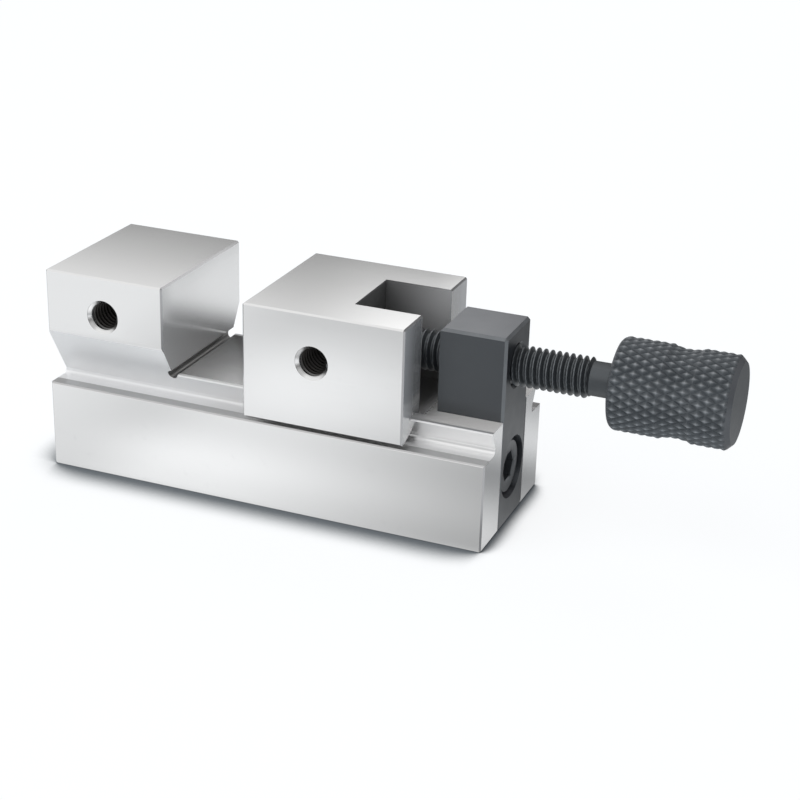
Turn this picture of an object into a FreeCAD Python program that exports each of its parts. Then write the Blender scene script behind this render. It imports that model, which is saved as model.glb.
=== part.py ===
import FreeCAD, Part
import Sketcher

import math
import os

# Small precision toolmakers vise, millimetres.
# The frame's origin is the middle of the underside, +X points from the fixed jaw to the knob, +Z is up.
# Each piece is drawn in a frame of its own and set in place by its Placement.

# Driving dimensions: alias, value, what it measures
DIMENSIONS = [
    ("body_length", 70.0, "vise body, end to end"),
    ("body_width", 25.0, "vise body and both jaws, side to side"),
    ("jaw_top_height", 31.7, "underside to the top of both jaws"),
    ("fixed_jaw_length", 19.5, "end face to clamping face"),
    ("rail_height", 17.3, "underside to the top of the dovetail rail"),
    ("ledge_height", 13.6, "underside to the side ledges"),
    ("groove_top_height", 22.1, "underside to the upper edge of the side grooves"),
    ("flank_angle", 30.0, "dovetail flank from the vertical, in degrees"),
    ("groove_root_radius", 0.7, "rounded root of the side grooves"),
    ("relief_groove_radius", 0.72, "grinding relief between rail and fixed jaw"),
    ("edge_break", 0.25, "broken edges of the ground blocks"),
    ("jaw_length", 25.0, "movable jaw, clamping face to knob end"),
    ("opening_at_rest", 13.0, "gap between the clamping faces as shown"),
    ("slide_clearance", 0.02, "movable jaw to rail, square to each face"),
    ("lip_height", 14.1, "underside to the foot of the movable jaw's lips"),
    ("lip_flat", 0.8, "flat part of each lip's foot"),
    ("lip_rise", 1.2, "rise of each lip's sloped foot"),
    ("pocket_length", 10.4, "movable jaw's pocket, along the vise"),
    ("pocket_width", 11.8, "movable jaw's pocket, side to side"),
    ("bracket_width", 10.4, "screw bracket, side to side"),
    ("bracket_thickness", 10.0, "screw bracket, along the vise"),
    ("bracket_lift", 0.2, "bracket's foot above the underside"),
    ("slot_clearance", 0.04, "bracket to each wall of the end slot"),
    ("bracket_edge_break", 0.4, "broken edges of the bracket"),
    ("screw_height", 24.3, "underside to the screw's axis"),
    ("bracket_head_room", 5.7, "screw's axis to the bracket's top"),
    ("screw_diameter", 6.0, "clamping screw over its thread"),
    ("screw_clearance", 0.05, "clamping screw to the bracket's bore, radial"),
    ("relief_diameter", 5.0, "plain neck between thread and knob"),
    ("thread_overhang", 11.2, "thread's end beyond the body's end face, at rest"),
    ("nose_diameter", 4.6, "screw's nose inside the movable jaw"),
    ("nose_clearance", 0.05, "nose to its bore, radial"),
    ("nose_length", 7.1, "shoulder to the nose's end"),
    ("nose_end_gap", 0.4, "nose's end to the end of its bore"),
    ("shoulder_gap", 0.03, "screw's shoulder to the pocket's end wall"),
    ("nose_groove_offset", 3.7, "pocket's end wall to the middle of the nose groove"),
    ("nose_groove_width", 3.6, "retaining groove, along the screw"),
    ("nose_groove_diameter", 3.2, "retaining groove, at its bottom"),
    ("knob_gap", 14.6, "knob's inner end beyond the body's end face, at rest"),
    ("knob_length", 17.4, "knurled knob, end to end"),
    ("knob_diameter", 13.4, "knurled knob over its knurl"),
    ("knob_inner_round", 1.2, "rounded inner end of the knob"),
    ("knob_outer_chamfer", 0.9, "chamfer of the knob's outer end"),
    ("knob_bore_depth", 10.0, "blind bore for the screw's plain shank"),
    ("waist_depth", 0.4, "knob's shallow waist"),
    ("waist_width", 4.6, "knob's shallow waist, along the axis"),
    ("waist_place", 9.5, "knob's inner end to the middle of its waist"),
    ("tap_diameter", 4.2, "tapping size of the open M5 holes"),
    ("tap_mouth_diameter", 5.2, "countersunk mouth of the M5 holes"),
    ("fastener_diameter", 5.0, "cap screw and set screw over their threads"),
    ("fastener_clearance", 0.05, "cap screw and set screw to their holes, radial"),
    ("drill_point_angle", 59.0, "half angle of the drill points, in degrees"),
    ("accessory_hole_depth", 10.0, "fixed jaw's side holes, without their drill points"),
    ("jaw_hole_depth", 8.0, "movable jaw's front side hole, without its drill point"),
    ("accessory_hole_place", 9.5, "end face to the fixed jaw's side holes"),
    ("accessory_hole_height", 25.6, "underside to the fixed jaw's side holes"),
    ("cap_screw_height", 8.3, "underside to the cap screw's axis"),
    ("cap_screw_length", 16.0, "cap screw under its head"),
    ("cap_head_diameter", 8.5, "cap screw's head"),
    ("cap_head_height", 5.0, "cap screw's head"),
    ("cap_hex_width", 4.0, "cap screw's socket, across flats"),
    ("cap_hex_depth", 2.5, "cap screw's socket"),
    ("counterbore_diameter", 9.5, "bracket's counterbore"),
    ("counterbore_depth", 5.5, "bracket's counterbore"),
    ("cap_hole_spare", 1.5, "body's tapped hole past the cap screw's tip"),
    ("set_screw_length", 8.0, "set screw with its dog"),
    ("dog_diameter", 3.5, "set screw's dog point"),
    ("dog_length", 2.5, "set screw's dog point"),
    ("dog_gap", 0.05, "dog's end to the groove's bottom"),
    ("set_hex_width", 2.5, "set screw's socket, across flats"),
    ("set_hex_depth", 2.6, "set screw's socket"),
    ("fastener_break", 0.4, "chamfered ends of the fasteners and the screw"),
]

SHEET = "Sizes"
ALONG_X = FreeCAD.Rotation(FreeCAD.Vector(0, 1, 0), 90)
AGAINST_X = FreeCAD.Rotation(FreeCAD.Vector(0, 1, 0), -90)
ALONG_Y = FreeCAD.Rotation(FreeCAD.Vector(1, 0, 0), -90)
AGAINST_Y = FreeCAD.Rotation(FreeCAD.Vector(1, 0, 0), 90)
TOUCHING = 1e-4
HEXAGON_HALF_ANGLE = 30


class Size:
    """A length or angle that keeps its number together with the sheet expression that gives it."""

    def __init__(self, number, text):
        self.number = number
        self.text = text

    def combine(self, other, sign, number):
        """Join two sizes with an operator's sign."""
        return Size(number, "(%s %s %s)" % (self.text, sign, other.text))

    def __add__(self, other):
        other = as_size(other)
        return self.combine(other, "+", self.number + other.number)

    def __sub__(self, other):
        other = as_size(other)
        return self.combine(other, "-", self.number - other.number)

    def __mul__(self, other):
        other = as_size(other)
        return self.combine(other, "*", self.number * other.number)

    def __truediv__(self, other):
        other = as_size(other)
        return self.combine(other, "/", self.number / other.number)

    def __neg__(self):
        return as_size(0) - self


def as_size(value):
    """A plain number as a size, or the size itself."""
    if isinstance(value, Size):
        return value
    return Size(float(value), repr(float(value)))


def tangent(angle):
    return Size(math.tan(math.radians(angle.number)), "tan(%s)" % angle.text)


def cosine(angle):
    return Size(math.cos(math.radians(angle.number)), "cos(%s)" % angle.text)


def make_sheet(doc):
    """Write the driving dimensions to the document's sheet and return them by name."""
    sheet = doc.addObject("Spreadsheet::Sheet", SHEET)
    named = {}
    for row, (alias, value, meaning) in enumerate(DIMENSIONS, start=1):
        sheet.set("A%d" % row, alias)
        sheet.set("B%d" % row, str(value))
        sheet.setAlias("B%d" % row, alias)
        sheet.set("C%d" % row, meaning)
        named[alias] = Size(value, "%s.%s" % (SHEET, alias))
    doc.recompute()
    return named


def bind(feature, path, size):
    """Bind one property of a feature to a size."""
    feature.setExpression(path, as_size(size).text)


def make_body(doc, label, place):
    """A new piece with its label and its Placement bound to sizes."""
    body = doc.addObject("PartDesign::Body", label)
    body.Label = label
    for axis, size in zip("xyz", place):
        bind(body, "Placement.Base." + axis, size)
    return body


def sketch_on(body, name, role):
    """A sketch on one of the piece's own origin planes."""
    sketch = body.newObject("Sketcher::SketchObject", name)
    plane = [item for item in body.Origin.OriginFeatures if item.Role == role][0]
    sketch.AttachmentSupport = [(plane, "")]
    sketch.MapMode = "FlatFace"
    return sketch


def fix_point(sketch, line, point, corner):
    """Hold one end of a line at a corner whose two coordinates are sizes."""
    for kind, size in zip(("DistanceX", "DistanceY"), corner):
        size = as_size(size)
        index = sketch.addConstraint(Sketcher.Constraint(kind, -1, 1, line, point, size.number))
        bind(sketch, "Constraints[%d]" % index, size)


def polygon(sketch, corners):
    """A closed outline through corners, each a pair of sizes."""
    numbers = [FreeCAD.Vector(as_size(u).number, as_size(v).number, 0) for u, v in corners]
    count = len(corners)
    for index, start in enumerate(numbers):
        sketch.addGeometry(Part.LineSegment(start, numbers[(index + 1) % count]), False)
    for index in range(count):
        sketch.addConstraint(Sketcher.Constraint("Coincident", index, 2, (index + 1) % count, 1))
    for index, corner in enumerate(corners):
        fix_point(sketch, index, 1, corner)


def rectangle(sketch, low, high):
    """A rectangle between two corners."""
    polygon(sketch, [low, (high[0], low[1]), high, (low[0], high[1])])


def circle(sketch, centre, radius):
    """A circle with its centre and radius bound to sizes."""
    middle = FreeCAD.Vector(as_size(centre[0]).number, as_size(centre[1]).number, 0)
    index = sketch.addGeometry(Part.Circle(middle, FreeCAD.Vector(0, 0, 1), radius.number), False)
    fix_point(sketch, index, 3, centre)
    held = sketch.addConstraint(Sketcher.Constraint("Radius", index, radius.number))
    bind(sketch, "Constraints[%d]" % held, radius)


def pad(body, sketch, length):
    """Extrude a sketch along its normal."""
    feature = body.newObject("PartDesign::Pad", sketch.Name + "_pad")
    feature.Profile = sketch
    bind(feature, "Length", length)
    return feature


def cut_through(body, sketch):
    """Cut a sketch right through the piece, both ways from its plane."""
    feature = body.newObject("PartDesign::Pocket", sketch.Name + "_cut")
    feature.Profile = sketch
    feature.Type = "ThroughAll"
    feature.SideType = "Symmetric"
    return feature


def revolve(body, name, corners):
    """Turn a half profile of (x, radius) corners about the piece's X axis."""
    sketch = sketch_on(body, name + "_profile", "XY_Plane")
    polygon(sketch, corners)
    feature = body.newObject("PartDesign::Revolution", name)
    feature.Profile = sketch
    feature.ReferenceAxis = (sketch, ["H_Axis"])
    feature.Angle = 360
    return feature


def place_tool(feature, start, rotation):
    """Stand a cutting primitive at a point, along a direction."""
    feature.Placement = FreeCAD.Placement(FreeCAD.Vector(), rotation)
    for axis, size in zip("xyz", start):
        bind(feature, "Placement.Base." + axis, size)


def bore(body, name, start, rotation, radius, depth):
    """A round cut from a point, along a direction."""
    feature = body.newObject("PartDesign::SubtractiveCylinder", name)
    bind(feature, "Radius", radius)
    bind(feature, "Height", depth)
    place_tool(feature, start, rotation)
    return feature


def cone_cut(body, name, start, rotation, first_radius, last_radius, depth):
    """A tapered cut, such as a drill point or a countersunk mouth."""
    feature = body.newObject("PartDesign::SubtractiveCone", name)
    bind(feature, "Radius1", first_radius)
    bind(feature, "Radius2", last_radius)
    bind(feature, "Height", depth)
    place_tool(feature, start, rotation)
    return feature


def hexagon_socket(body, name, width, depth):
    """A hexagon socket in the end face at the piece's own x = 0."""
    sketch = sketch_on(body, name, "YZ_Plane")
    corner = width / 2 / cosine(as_size(HEXAGON_HALF_ANGLE))
    flat = width / 2
    polygon(sketch, [
        (corner, 0),
        (corner / 2, flat),
        (-(corner / 2), flat),
        (-corner, 0),
        (-(corner / 2), -flat),
        (corner / 2, -flat),
    ])
    feature = body.newObject("PartDesign::Pocket", name + "_cut")
    feature.Profile = sketch
    bind(feature, "Length", depth)
    return feature


def edges_where(doc, feature, wanted):
    """Names of the feature's edges for which wanted(edge) holds."""
    doc.recompute()
    return ["Edge%d" % (index + 1) for index, edge in enumerate(feature.Shape.Edges) if wanted(edge)]


def break_edges(doc, body, kind, name, size, wanted):
    """Fillet or chamfer the chosen edges of the piece's last feature."""
    base = body.Tip
    names = edges_where(doc, base, wanted)
    feature = body.newObject("PartDesign::" + kind, name)
    feature.Base = (base, names)
    bind(feature, "Radius" if kind == "Fillet" else "Size", size)
    return feature


def along(edge, axis):
    """Whether a straight edge runs along one axis."""
    if not isinstance(edge.Curve, Part.Line):
        return False
    return abs(abs(getattr(edge.Curve.Direction, axis)) - 1) < TOUCHING


def at(edge, **coordinates):
    """Whether the middle of an edge has the given coordinates, up to their sign."""
    middle = edge.CenterOfMass
    return all(abs(abs(getattr(middle, axis)) - value) < TOUCHING for axis, value in coordinates.items())


def spans(edge, axis, low, high):
    """Whether an edge lies between two values of one coordinate."""
    box = edge.BoundBox
    lowest = getattr(box, axis.upper() + "Min")
    highest = getattr(box, axis.upper() + "Max")
    return lowest > low - TOUCHING and highest < high + TOUCHING


def flank_place(dim, height):
    """Distance from the middle plane to the dovetail flank at one height."""
    return dim["body_width"] / 2 - (dim["groove_top_height"] - height) * tangent(dim["flank_angle"])


def fixed_end(dim):
    """The frame's x of the body's end face at the fixed jaw."""
    return -(dim["body_length"] / 2)


def jaw_face(dim):
    """The frame's x of the movable jaw's clamping face at rest."""
    return fixed_end(dim) + dim["fixed_jaw_length"] + dim["opening_at_rest"]


def pocket_wall(dim):
    """The frame's x of the pocket's end wall at rest, where the screw pushes."""
    return jaw_face(dim) + dim["jaw_length"] - dim["pocket_length"]


def mouth_depth(dim, radius):
    """Depth of a 90 degree countersink from the mouth's size down to a radius."""
    return dim["tap_mouth_diameter"] / 2 - radius


def drill_point(body, name, start, rotation, dim, radius):
    """The conical end that a drill leaves."""
    height = radius / tangent(dim["drill_point_angle"])
    cone_cut(body, name, start, rotation, radius, as_size(0), height)


def side_hole(body, name, x, z, side, dim, radius, depth):
    """A hole from one side face towards the middle, with its countersunk mouth."""
    inward = ALONG_Y if side < 0 else AGAINST_Y
    start = (x, dim["body_width"] / 2 * side, z)
    bore(body, name, start, inward, radius, depth)
    mouth = dim["tap_mouth_diameter"] / 2
    cone_cut(body, name + "_mouth", start, inward, mouth, radius, mouth_depth(dim, radius))


def blind_side_hole(body, name, x, z, side, dim, depth):
    """An open tapped hole of the tapping size, with its drill point."""
    radius = dim["tap_diameter"] / 2
    inward = ALONG_Y if side < 0 else AGAINST_Y
    side_hole(body, name, x, z, side, dim, radius, depth)
    bottom = (x, (dim["body_width"] / 2 - depth) * side, z)
    drill_point(body, name + "_point", bottom, inward, dim, radius)


def make_vise_body(doc, dim):
    """Fixed jaw, dovetail rail and base in one ground block."""
    body = make_body(doc, "vise_body", (fixed_end(dim), 0, 0))
    half = dim["body_width"] / 2
    root = flank_place(dim, dim["ledge_height"])
    ledge = dim["ledge_height"]
    upper = dim["groove_top_height"]
    top = dim["jaw_top_height"]

    section = sketch_on(body, "body_section", "YZ_Plane")
    right_side = [(half, 0), (half, ledge), (root, ledge), (half, upper), (half, top)]
    left_side = [(-half, top), (-half, upper), (-root, ledge), (-half, ledge), (-half, 0)]
    polygon(section, right_side + left_side)
    pad(body, section, dim["body_length"])

    def groove_root(edge):
        return along(edge, "x") and at(edge, y=root.number, z=ledge.number)

    break_edges(doc, body, "Fillet", "groove_roots", dim["groove_root_radius"], groove_root)

    opening = sketch_on(body, "rail_opening", "XZ_Plane")
    past_top = top + dim["edge_break"]
    past_end = dim["body_length"] + dim["edge_break"]
    rectangle(opening, (dim["fixed_jaw_length"], dim["rail_height"]), (past_end, past_top))
    cut_through(body, opening)

    relief = sketch_on(body, "relief_groove", "XZ_Plane")
    circle(relief, (dim["fixed_jaw_length"], dim["rail_height"]), dim["relief_groove_radius"])
    cut_through(body, relief)

    slot = sketch_on(body, "end_slot", "XY_Plane")
    slot_half = dim["bracket_width"] / 2 + dim["slot_clearance"]
    slot_start = dim["body_length"] - dim["bracket_thickness"] - dim["slot_clearance"]
    rectangle(slot, (slot_start, -slot_half), (past_end, slot_half))
    cut_through(body, slot)

    jaw_length = dim["fixed_jaw_length"].number
    length = dim["body_length"].number
    rail_half = flank_place(dim, dim["rail_height"])

    def outer_edge(edge):
        if along(edge, "y") and spans(edge, "y", -half.number, half.number):
            ends = at(edge, x=0) or at(edge, x=length)
            return (at(edge, x=jaw_length, z=top.number)
                    or ends and (at(edge, z=0) or at(edge, z=top.number)))
        if along(edge, "x") and at(edge, y=half.number):
            return any(at(edge, z=level) for level in (0, ledge.number, upper.number, top.number))
        if along(edge, "x") and at(edge, y=rail_half.number):
            return at(edge, z=dim["rail_height"].number)
        return along(edge, "z") and at(edge, y=half.number)

    break_edges(doc, body, "Chamfer", "broken_edges", dim["edge_break"], outer_edge)

    hole_x = dim["accessory_hole_place"]
    hole_z = dim["accessory_hole_height"]
    for name, side in (("front", -1), ("back", 1)):
        label = name + "_accessory_hole"
        blind_side_hole(body, label, hole_x, hole_z, side, dim, dim["accessory_hole_depth"])

    screw_radius = dim["fastener_diameter"] / 2 + dim["fastener_clearance"]
    reach = cap_screw_reach(dim) + dim["cap_hole_spare"]
    start = (slot_start, 0, dim["cap_screw_height"])
    bore(body, "cap_screw_hole", start, AGAINST_X, screw_radius, reach)
    end = (slot_start - reach, 0, dim["cap_screw_height"])
    drill_point(body, "cap_screw_hole_point", end, AGAINST_X, dim, screw_radius)
    return body


def cap_screw_reach(dim):
    """How far the cap screw goes into the body past the slot's end wall."""
    seat_to_wall = dim["bracket_thickness"] - dim["counterbore_depth"] + dim["slot_clearance"]
    return dim["cap_screw_length"] - seat_to_wall


def make_movable_jaw(doc, dim):
    """The sliding jaw: dovetail channel below, pocket for the bracket behind."""
    body = make_body(doc, "movable_jaw", (jaw_face(dim), 0, 0))
    half = dim["body_width"] / 2
    top = dim["jaw_top_height"]
    foot = dim["lip_height"]
    roof = dim["rail_height"] + dim["slide_clearance"]
    toe = dim["lip_height"] + dim["lip_rise"]
    sideways = dim["slide_clearance"] / cosine(dim["flank_angle"])
    channel_roof = flank_place(dim, roof) + sideways
    channel_toe = flank_place(dim, toe) + sideways
    foot_inner = half - dim["lip_flat"]

    section = sketch_on(body, "jaw_section", "YZ_Plane")
    right_side = [(channel_roof, roof), (channel_toe, toe), (foot_inner, foot), (half, foot), (half, top)]
    left_side = [(-half, top), (-half, foot), (-foot_inner, foot), (-channel_toe, toe), (-channel_roof, roof)]
    polygon(section, right_side + left_side)
    pad(body, section, dim["jaw_length"])

    wall = dim["jaw_length"] - dim["pocket_length"]
    pocket = sketch_on(body, "bracket_pocket", "XY_Plane")
    pocket_half = dim["pocket_width"] / 2
    past_end = dim["jaw_length"] + dim["edge_break"]
    rectangle(pocket, (wall, -pocket_half), (past_end, pocket_half))
    cut_through(body, pocket)

    def outer_edge(edge):
        ends = at(edge, x=0) or at(edge, x=dim["jaw_length"].number)
        if along(edge, "y"):
            return at(edge, z=top.number) and ends
        if along(edge, "x") and at(edge, y=half.number):
            return at(edge, z=foot.number) or at(edge, z=top.number)
        return along(edge, "z") and ends and at(edge, y=half.number)

    break_edges(doc, body, "Chamfer", "broken_edges", dim["edge_break"], outer_edge)

    bore_radius = dim["nose_diameter"] / 2 + dim["nose_clearance"]
    bore_depth = dim["nose_length"] + dim["shoulder_gap"] + dim["nose_end_gap"]
    axis_height = dim["screw_height"]
    bore(body, "nose_bore", (wall, 0, axis_height), AGAINST_X, bore_radius, bore_depth)
    end = (wall - bore_depth, 0, axis_height)
    drill_point(body, "nose_bore_point", end, AGAINST_X, dim, bore_radius)

    cross_x = wall - dim["nose_groove_offset"]
    held_radius = dim["fastener_diameter"] / 2 + dim["fastener_clearance"]
    blind_side_hole(body, "front_side_hole", cross_x, axis_height, -1, dim, dim["jaw_hole_depth"])
    side_hole(body, "set_screw_hole", cross_x, axis_height, 1, dim, held_radius, half)
    return body


def make_screw_bracket(doc, dim):
    """The nut block that stands in the body's end slot."""
    place = (-fixed_end(dim) - dim["bracket_thickness"], 0, dim["bracket_lift"])
    body = make_body(doc, "screw_bracket", place)
    half = dim["bracket_width"] / 2
    thickness = dim["bracket_thickness"]
    axis_height = dim["screw_height"] - dim["bracket_lift"]
    height = axis_height + dim["bracket_head_room"]

    outline = sketch_on(body, "bracket_outline", "XY_Plane")
    rectangle(outline, (0, -half), (thickness, half))
    pad(body, outline, height)

    def outer_edge(edge):
        upright = along(edge, "z") and at(edge, x=thickness.number)
        return upright or at(edge, z=height.number)

    break_edges(doc, body, "Chamfer", "broken_edges", dim["bracket_edge_break"], outer_edge)

    bore_radius = dim["screw_diameter"] / 2 + dim["screw_clearance"]
    bore(body, "screw_bore", (0, 0, axis_height), ALONG_X, bore_radius, thickness)
    mouth = bore_radius + dim["bracket_edge_break"]
    depth = dim["bracket_edge_break"]
    cone_cut(body, "inner_mouth", (0, 0, axis_height), ALONG_X, mouth, bore_radius, depth)
    cone_cut(body, "outer_mouth", (thickness, 0, axis_height), AGAINST_X, mouth, bore_radius, depth)

    cap_height = dim["cap_screw_height"] - dim["bracket_lift"]
    hole_radius = dim["fastener_diameter"] / 2 + dim["fastener_clearance"]
    bore(body, "cap_screw_hole", (0, 0, cap_height), ALONG_X, hole_radius, thickness)
    sink_radius = dim["counterbore_diameter"] / 2
    start = (thickness, 0, cap_height)
    bore(body, "counterbore", start, AGAINST_X, sink_radius, dim["counterbore_depth"])
    return body


def make_bracket_cap_screw(doc, dim):
    """Socket head cap screw that holds the bracket, its head in the counterbore."""
    head_top = -fixed_end(dim) - dim["counterbore_depth"] + dim["cap_head_height"]
    body = make_body(doc, "bracket_cap_screw", (head_top, 0, dim["cap_screw_height"]))
    head = dim["cap_head_diameter"] / 2
    shank = dim["fastener_diameter"] / 2
    bevel = dim["fastener_break"]
    under_head = -dim["cap_head_height"]
    tip = under_head - dim["cap_screw_length"]
    revolve(body, "turned_screw", [
        (0, 0),
        (0, head - bevel),
        (-bevel, head),
        (under_head, head),
        (under_head, shank),
        (tip + bevel, shank),
        (tip, shank - bevel),
        (tip, 0),
    ])
    hexagon_socket(body, "hex_socket", dim["cap_hex_width"], dim["cap_hex_depth"])
    return body


def make_clamping_screw(doc, dim):
    """The screw, from its nose in the jaw to the plain shank in the knob."""
    shoulder = pocket_wall(dim) + dim["shoulder_gap"]
    body = make_body(doc, "clamping_screw", (shoulder, 0, dim["screw_height"]))
    nose = dim["nose_diameter"] / 2
    groove = dim["nose_groove_diameter"] / 2
    thread = dim["screw_diameter"] / 2
    neck = dim["relief_diameter"] / 2
    bevel = dim["fastener_break"]
    groove_middle = -(dim["nose_groove_offset"] + dim["shoulder_gap"])
    groove_half = dim["nose_groove_width"] / 2
    nose_end = -dim["nose_length"]
    thread_end = -fixed_end(dim) + dim["thread_overhang"] - shoulder
    shank_end = -fixed_end(dim) + dim["knob_gap"] + dim["knob_bore_depth"] - shoulder
    revolve(body, "turned_screw", [
        (nose_end, 0),
        (nose_end, nose - bevel),
        (nose_end + bevel, nose),
        (groove_middle - groove_half, nose),
        (groove_middle - groove_half, groove),
        (groove_middle + groove_half, groove),
        (groove_middle + groove_half, nose),
        (0, nose),
        (0, thread - bevel),
        (bevel, thread),
        (thread_end - bevel, thread),
        (thread_end, neck),
        (shank_end, neck),
        (shank_end, 0),
    ])
    return body


def make_knurled_knob(doc, dim):
    """The knob, pressed on the screw's shank; its outline runs over the crests of the knurl."""
    inner_end = -fixed_end(dim) + dim["knob_gap"]
    body = make_body(doc, "knurled_knob", (inner_end, 0, dim["screw_height"]))
    radius = dim["knob_diameter"] / 2
    length = dim["knob_length"]
    bevel = dim["knob_outer_chamfer"]
    shank = dim["relief_diameter"] / 2
    depth = dim["knob_bore_depth"]
    revolve(body, "turned_knob", [
        (0, shank),
        (0, radius),
        (length - bevel, radius),
        (length, radius - bevel),
        (length, 0),
        (depth, 0),
        (depth, shank),
    ])

    def inner_rim(edge):
        return at(edge, x=0) and abs(edge.Length - 2 * math.pi * radius.number) < TOUCHING

    break_edges(doc, body, "Fillet", "rounded_inner_end", dim["knob_inner_round"], inner_rim)

    chord = dim["waist_width"] / 2
    sag = dim["waist_depth"]
    hollow_radius = (chord * chord + sag * sag) / (sag * 2)
    waist = body.newObject("PartDesign::SubtractiveTorus", "waist")
    bind(waist, "Radius1", radius - sag + hollow_radius)
    bind(waist, "Radius2", hollow_radius)
    place_tool(waist, (dim["waist_place"], 0, 0), ALONG_X)
    return body


def make_nose_set_screw(doc, dim):
    """Dog point set screw in the jaw's back hole, its dog in the groove of the screw's nose."""
    cross_x = pocket_wall(dim) - dim["nose_groove_offset"]
    dog_end = dim["nose_groove_diameter"] / 2 + dim["dog_gap"]
    outer_end = dog_end + dim["set_screw_length"]
    body = make_body(doc, "nose_set_screw", (cross_x, outer_end, dim["screw_height"]))
    body.Placement.Rotation = FreeCAD.Rotation(FreeCAD.Vector(0, 0, 1), 90)
    radius = dim["fastener_diameter"] / 2
    dog = dim["dog_diameter"] / 2
    bevel = dim["fastener_break"]
    dog_start = dim["dog_length"] - dim["set_screw_length"]
    revolve(body, "turned_screw", [
        (0, 0),
        (0, radius - bevel),
        (-bevel, radius),
        (dog_start - bevel, radius),
        (dog_start, dog),
        (-dim["set_screw_length"], dog),
        (-dim["set_screw_length"], 0),
    ])
    hexagon_socket(body, "hex_socket", dim["set_hex_width"], dim["set_hex_depth"])
    return body


def check_document(doc):
    """Stop if any object of the document failed to build."""
    doc.recompute()
    failed = [item.Name for item in doc.Objects if "Invalid" in item.State or "Error" in item.State]
    if failed:
        raise RuntimeError("failed objects: " + ", ".join(failed))


def export_pieces(pieces):
    """Check each piece's solid and write it to its own file."""
    os.makedirs("parts", exist_ok=True)
    for piece in pieces:
        shape = piece.Shape
        if shape.isNull() or not shape.isValid() or len(shape.Solids) != 1:
            raise RuntimeError("bad solid: " + piece.Label)
    for piece in pieces:
        piece.Shape.exportStep("parts/%s.step" % piece.Label)
        print("%s: volume %.2f, faces %d" % (piece.Label, piece.Shape.Volume, len(piece.Shape.Faces)))


def main():
    doc = FreeCAD.newDocument("toolmakers_vise")
    dim = make_sheet(doc)
    makers = [
        make_vise_body,
        make_movable_jaw,
        make_screw_bracket,
        make_bracket_cap_screw,
        make_clamping_screw,
        make_knurled_knob,
        make_nose_set_screw,
    ]
    pieces = [make(doc, dim) for make in makers]
    check_document(doc)
    export_pieces(pieces)


main()
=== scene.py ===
import logging
import math
from collections.abc import Callable
from dataclasses import dataclass, field, replace
from enum import Enum

import bmesh
import bpy
from mathutils import Matrix, Vector


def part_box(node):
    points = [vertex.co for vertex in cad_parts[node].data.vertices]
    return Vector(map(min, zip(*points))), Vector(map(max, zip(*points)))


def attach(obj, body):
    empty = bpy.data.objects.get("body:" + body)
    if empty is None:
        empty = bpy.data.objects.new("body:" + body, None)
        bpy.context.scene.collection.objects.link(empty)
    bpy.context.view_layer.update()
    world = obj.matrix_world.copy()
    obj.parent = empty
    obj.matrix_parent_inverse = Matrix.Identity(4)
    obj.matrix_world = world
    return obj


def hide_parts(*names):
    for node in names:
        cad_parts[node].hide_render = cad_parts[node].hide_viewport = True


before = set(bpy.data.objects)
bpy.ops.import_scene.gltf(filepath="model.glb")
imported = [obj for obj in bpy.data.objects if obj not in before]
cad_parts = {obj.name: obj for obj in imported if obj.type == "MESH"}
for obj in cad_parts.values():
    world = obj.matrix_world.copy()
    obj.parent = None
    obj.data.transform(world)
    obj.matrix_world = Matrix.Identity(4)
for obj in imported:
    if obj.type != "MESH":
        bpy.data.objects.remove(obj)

MM = 0.001
FULL_TURN = 2 * math.pi
SHARP_ANGLE = math.radians(32)
PHOTO_WIDTH = 800
SENSOR_WIDTH = 36.0
METRIC_THREAD_DEPTH = 0.6134
LEVEL_WITHIN = 1e-6
Colour = tuple[float, float, float, float]
Span = tuple[float, float]
Stops = tuple[Span, ...]
Envelope = Callable[[float], float]
RadiusRule = Callable[[float, float], float]
report = logging.getLogger("toolmakers_vise")


class Slot(Enum):
    """The record's material slots."""

    STEEL = "ground_steel"
    OXIDE = "black_oxide"
    FASTENER = "black_fastener"


class Rides(Enum):
    """The bodies that move together."""

    BASE = "base"
    JAW = "jaw"
    SCREW = "screw"


class Value:
    """One output of a shader node; arithmetic on it adds Math nodes."""

    def __init__(self, shader: "Shader", socket: bpy.types.NodeSocket) -> None:
        """Keep the shader that the output belongs to, and its socket."""
        self.shader = shader
        self.socket = socket

    def math(self, operation: str, first: "Operand", second: "Operand" = 0.0, clamp: bool = False) -> "Value":
        """Add one Math node.

        Args:
            operation: the node's operation.
            first: its first operand.
            second: its second operand.
            clamp: whether the result is held between 0 and 1.

        Returns:
            The node's result.
        """
        settings = {"operation": operation, "use_clamp": clamp}
        return self.shader.node("ShaderNodeMath", settings, {0: first, 1: second})

    def __add__(self, other: "Operand") -> "Value":
        """Sum."""
        return self.math("ADD", self, other)

    __radd__ = __add__

    def __sub__(self, other: "Operand") -> "Value":
        """Difference."""
        return self.math("SUBTRACT", self, other)

    def __rsub__(self, other: "Operand") -> "Value":
        """Difference with a number on the left."""
        return self.math("SUBTRACT", other, self)

    def __mul__(self, other: "Operand") -> "Value":
        """Product."""
        return self.math("MULTIPLY", self, other)

    __rmul__ = __mul__

    def __truediv__(self, other: "Operand") -> "Value":
        """Quotient."""
        return self.math("DIVIDE", self, other)

    def __pow__(self, other: "Operand") -> "Value":
        """Power."""
        return self.math("POWER", self, other)

    def __gt__(self, other: "Operand") -> "Value":
        """1 where this is greater, otherwise 0."""
        return self.math("GREATER_THAN", self, other)

    def __lt__(self, other: "Operand") -> "Value":
        """1 where this is less, otherwise 0."""
        return self.math("LESS_THAN", self, other)

    def __abs__(self) -> "Value":
        """Size without sign."""
        return self.math("ABSOLUTE", self)

    def held(self) -> "Value":
        """This value held between 0 and 1."""
        return self.math("ADD", self, 0.0, clamp=True)


Operand = Value | float | Colour


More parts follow.
